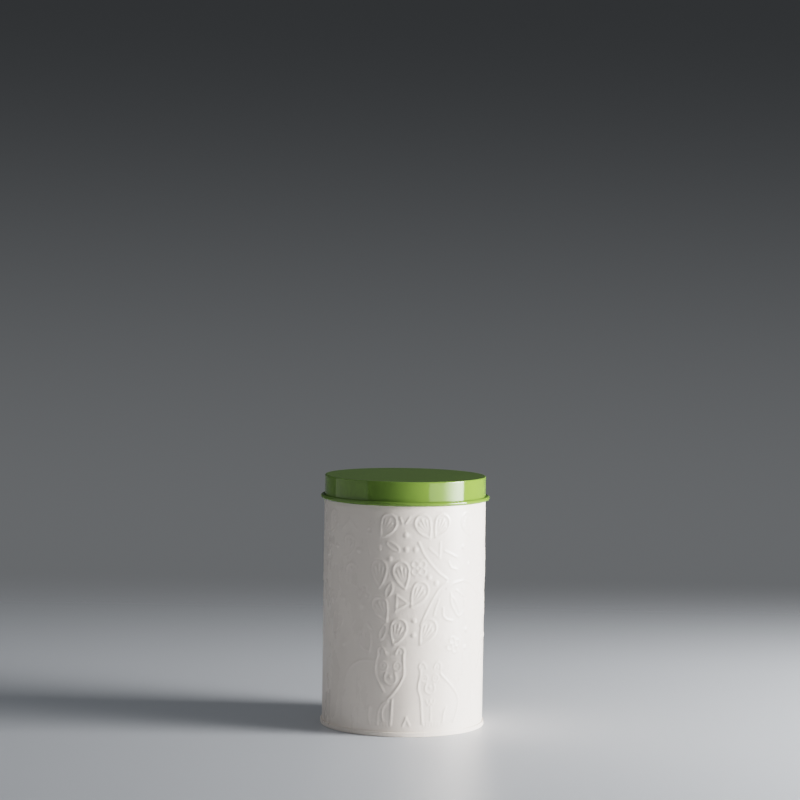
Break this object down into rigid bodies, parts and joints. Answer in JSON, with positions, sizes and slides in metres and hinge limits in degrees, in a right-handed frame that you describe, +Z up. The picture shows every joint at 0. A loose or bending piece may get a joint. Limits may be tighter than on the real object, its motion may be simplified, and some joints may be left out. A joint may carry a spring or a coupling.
{
  "type": "round tinplate canister",
  "caption": "Round tinplate canister for coffee: embossed body wall with a necked top, double-seamed base, and a slip-on lid that lifts off.",
  "frame": {"origin": "centre of the ring that the tin stands on", "axes": "+Z up along the tin's axis; the front faces -Y and the wall's side seam is at +Y"},
  "size_m": [0.1154, 0.1154, 0.1705],
  "materials": {
    "cream_enamel": "gloss",
    "green_enamel": "gloss",
    "seal_compound": "matte"
  },
  "bodies": {
    "tin": {"body_wall": "cream_enamel", "base": "cream_enamel", "base_sealing_ring": "seal_compound"},
    "lid": {"lid": "green_enamel"}
  },
  "joints": [
    {"name": "lid_lift", "type": "slide", "parent": "tin", "child": "lid", "axis": [0, 0, 1], "range_m": [0, 0.07]}
  ]
}
